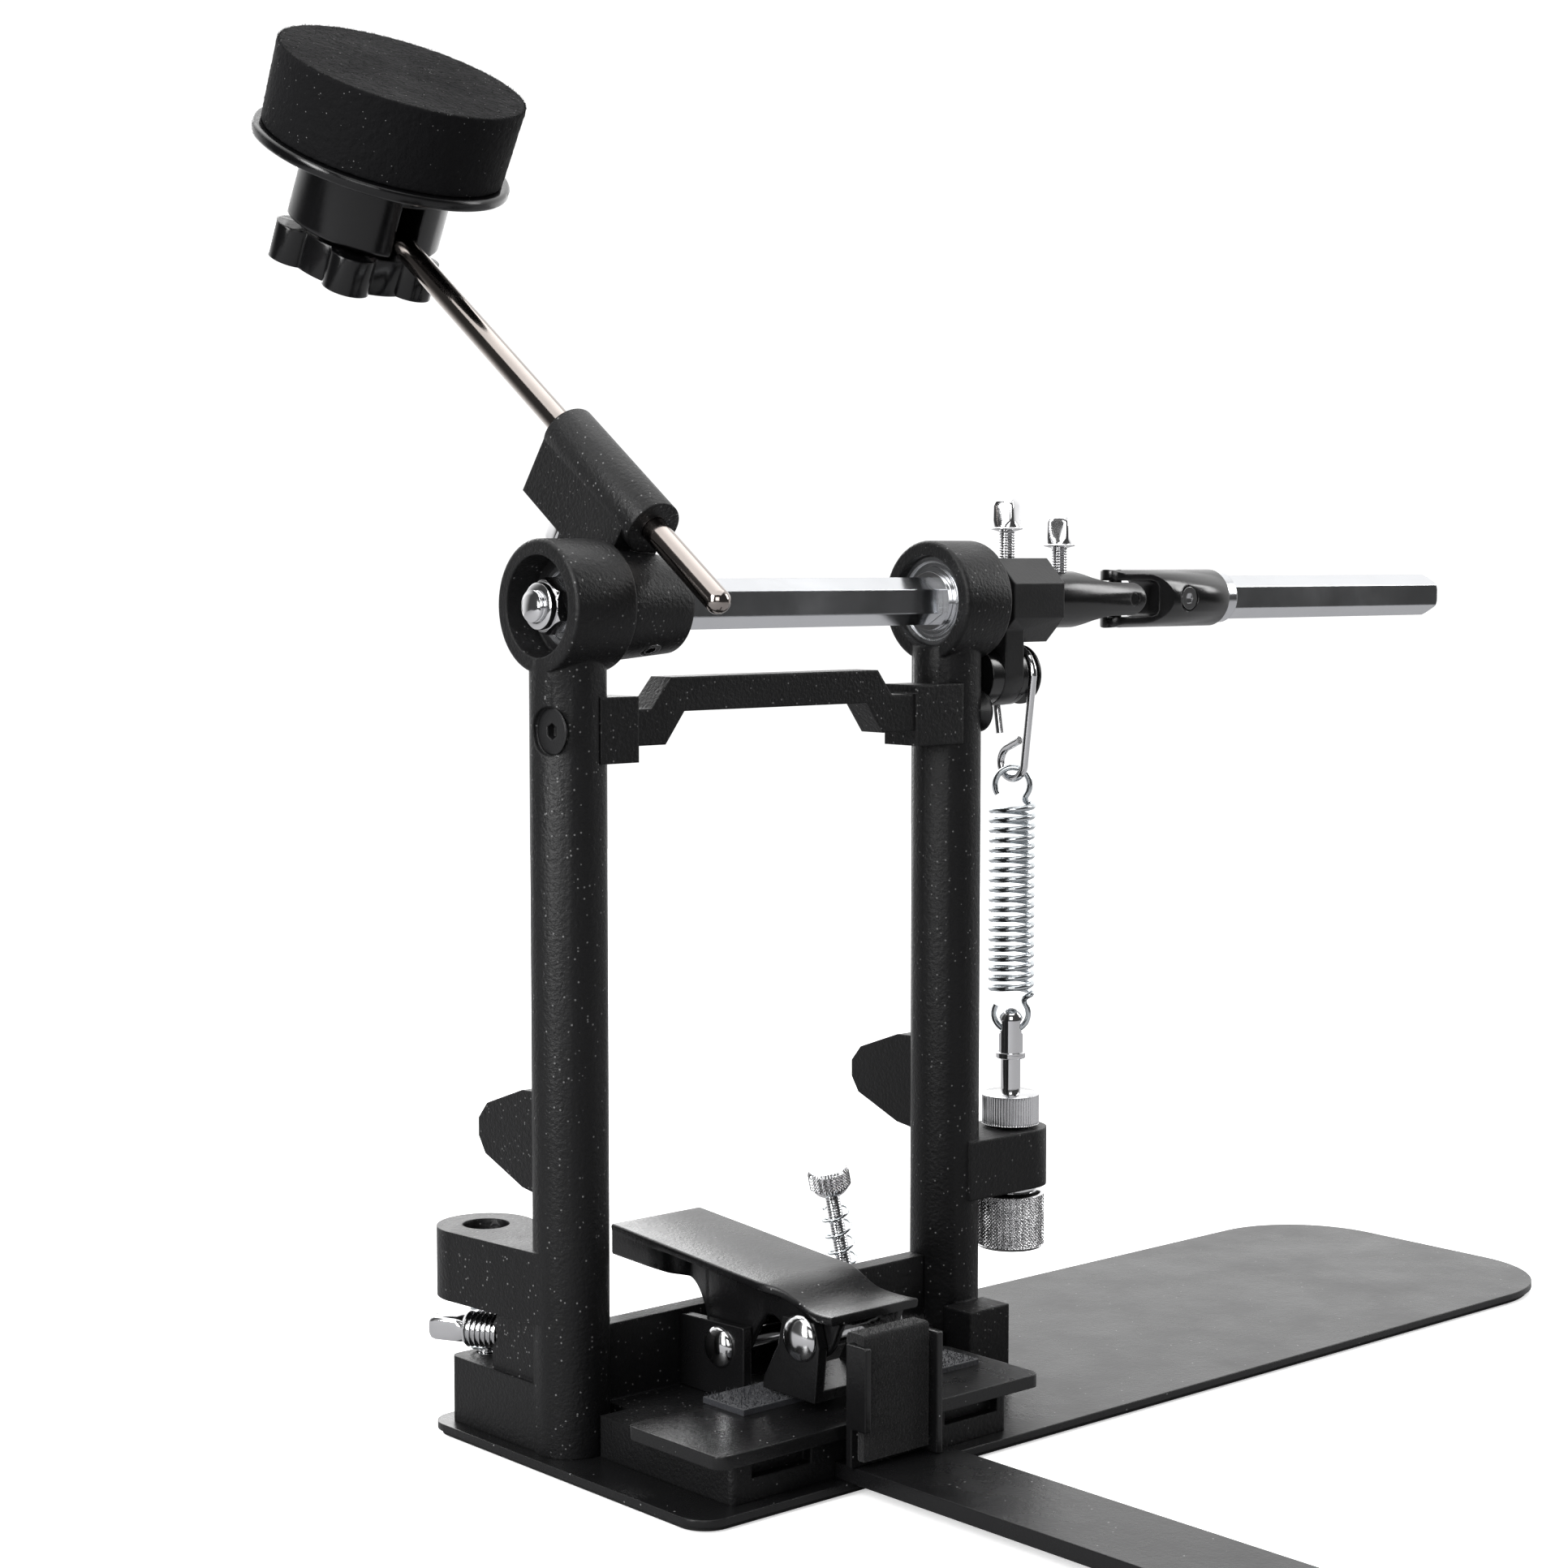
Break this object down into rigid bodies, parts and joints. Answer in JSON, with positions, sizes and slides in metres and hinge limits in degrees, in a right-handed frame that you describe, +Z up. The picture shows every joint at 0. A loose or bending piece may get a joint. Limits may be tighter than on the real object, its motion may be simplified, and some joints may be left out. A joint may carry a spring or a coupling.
{
  "type": "bass drum pedal beater unit",
  "caption": "Two-post beater unit of a direct-drive bass drum pedal with hexagonal axle, foam beater, return spring, hoop clamp and jointed drive shaft.",
  "frame": {"origin": "On the floor under the axle, half-way between the two posts.", "axes": "+X along the axle towards the drive shaft, +Y towards the player (the drum is on the -Y side), +Z up."},
  "size_m": [0.3875, 0.3878, 0.3977],
  "materials": {
    "black_powder_coat": "fine sandy texture, low sheen",
    "satin_black_plate": "satin black with slight orange peel",
    "gloss_black_plastic": "gloss black moulding",
    "gloss_black_metal": "gloss black plating",
    "satin_black_steel": "satin black plating",
    "polished_zinc_steel": "bright zinc or nickel plating",
    "dark_chrome": "dark chrome",
    "chrome": "bright chrome plating",
    "zinc_spring_steel": "zinc plated wire with a bluish tint",
    "ribbed_rubber": "matte black rubber",
    "foam_rubber": "matte closed foam with fine sparkle",
    "black_felt": "pressed felt with lint",
    "hook_tape": "hook side of a hook-and-loop tape"
  },
  "bodies": {
    "frame": {"rubber_mat": "ribbed_rubber", "base_plate": "satin_black_plate", "base_screws": "satin_black_steel", "left_post": "black_powder_coat", "right_post": "black_powder_coat", "clamp_base": "black_powder_coat", "crossbar": "black_powder_coat", "crossbar_screws": "satin_black_steel", "left_bearing": "polished_zinc_steel", "right_bearing": "polished_zinc_steel", "jaw_plate": "satin_black_plate", "jaw_pads": "hook_tape", "clamp_bracket": "satin_black_plate", "lever_pin": "chrome", "spur_springs": "zinc_spring_steel", "stabiliser_bar": "satin_black_plate", "felt_bracket": "satin_black_plate", "felt_pad": "black_felt"},
    "axle": {"axle": "polished_zinc_steel", "axle_nut": "chrome", "axle_washer": "polished_zinc_steel", "hex_bushing": "chrome", "beater_holder": "black_powder_coat", "holder_set_screw": "chrome", "rod_clamp_screw": "chrome", "rocker": "satin_black_steel", "rocker_screw": "chrome", "link_spool": "gloss_black_metal", "joint_yoke_in": "gloss_black_metal", "yoke_screw": "chrome"},
    "rod": {"beater_rod": "dark_chrome"},
    "head": {"beater_backing": "gloss_black_plastic", "beater_foam": "foam_rubber", "beater_eye_stud": "chrome"},
    "head_knob": {"beater_knob": "gloss_black_plastic"},
    "link": {"hook_link": "chrome"},
    "eye": {"eye_bolt": "chrome"},
    "spring": {"tension_spring": "zinc_spring_steel"},
    "lock_nut": {"tension_lock_nut": "chrome"},
    "tension_knob": {"tension_knob": "chrome"},
    "cross": {"joint_cross": "gloss_black_metal"},
    "drive": {"joint_yoke_out": "gloss_black_metal", "joint_set_screw": "chrome", "shaft_collar": "polished_zinc_steel", "drive_shaft": "polished_zinc_steel"},
    "lever": {"clamp_lever": "satin_black_plate", "shoe_pin": "chrome"},
    "shoe": {"clamp_shoe": "satin_black_plate"},
    "key_bolt": {"key_bolt": "chrome"},
    "left_spur": {"left_spur": "chrome"},
    "right_spur": {"right_spur": "chrome"}
  },
  "joints": [
    {"name": "axle_turn", "type": "hinge", "parent": "frame", "child": "axle", "pos_m": [0, 0, 0.2283], "axis": [1, 0, 0], "range_deg": [-4, 58], "stiffness_Nm_per_rad": 2, "springref_deg": 6.88, "deforming": ["tension_spring"]},
    {"name": "rod_slide", "type": "slide", "parent": "axle", "child": "rod", "axis": [0, 0.8131, 0.5821], "range_m": [-0.015, 0.03]},
    {"name": "beater_tilt", "type": "hinge", "parent": "rod", "child": "head", "pos_m": [-0.0474, 0.12577, 0.34466], "axis": [1, 0, 0], "range_deg": [-1.5, 16]},
    {"name": "head_knob_turn", "type": "hinge", "parent": "head", "child": "head_knob", "pos_m": [-0.0474, 0.12577, 0.34466], "axis": [0, -0.4602, 0.8878], "range_deg": [-180, 180]},
    {"name": "link_swing", "type": "hinge", "parent": "axle", "child": "link", "pos_m": [0.0975, 0, 0.206], "axis": [1, 0, 0], "range_deg": [-67.5, 5]},
    {"name": "eye_slide", "type": "slide", "parent": "frame", "child": "eye", "axis": [0, 0, 1], "range_m": [-0.00051, 0.00251]},
    {"name": "spring_pull", "type": "slide", "parent": "eye", "child": "spring", "axis": [0, 0.7869, 0.6171], "range_m": [-0.0013, 0.0178]},
    {"name": "lock_nut_turn", "type": "hinge", "parent": "frame", "child": "lock_nut", "pos_m": [0.0975, 0, 0.074], "axis": [0, 0, 1], "range_deg": [-180, 180]},
    {"name": "tension_knob_turn", "type": "hinge", "parent": "frame", "child": "tension_knob", "pos_m": [0.0975, 0, 0.042], "axis": [0, 0, 1], "range_deg": [-900, 180]},
    {"name": "joint_bend_up", "type": "hinge", "parent": "axle", "child": "cross", "pos_m": [0.1425, 0, 0.2283], "axis": [0, 1, 0], "range_deg": [-15, 15]},
    {"name": "joint_bend_side", "type": "hinge", "parent": "cross", "child": "drive", "pos_m": [0.1425, 0, 0.2283], "axis": [0, 0, 1], "range_deg": [-15, 15]},
    {"name": "lever_turn", "type": "hinge", "parent": "frame", "child": "lever", "pos_m": [-0.019, -0.019, 0.0285], "axis": [1, 0, 0], "range_deg": [-10, 2]},
    {"name": "shoe_swivel", "type": "hinge", "parent": "lever", "child": "shoe", "pos_m": [-0.019, -0.052, 0.0375], "axis": [1, 0, 0], "range_deg": [-3, 10]},
    {"name": "key_bolt_turn", "type": "hinge", "parent": "frame", "child": "key_bolt", "pos_m": [-0.0666, 0.0141, 0.0306], "axis": [-0.506, 0.8625, 0], "range_deg": [-180, 180]},
    {"name": "left_spur_turn", "type": "hinge", "parent": "frame", "child": "left_spur", "pos_m": [-0.0695, 0.0388, 0.02], "axis": [0, 0, 1], "range_deg": [-180, 180]},
    {"name": "right_spur_turn", "type": "hinge", "parent": "frame", "child": "right_spur", "pos_m": [0.0703, 0.0388, 0], "axis": [-0.2215, 0, 0.9751], "range_deg": [-180, 180]}
  ],
  "couplings": [
    {"joint": "link_swing", "follows": "axle_turn", "ratio": -1.1593},
    {"joint": "spring_pull", "follows": "axle_turn", "m_per_rad": 0.017446},
    {"joint": "eye_slide", "follows": "tension_knob_turn", "m_per_rad": -0.00015915}
  ]
}
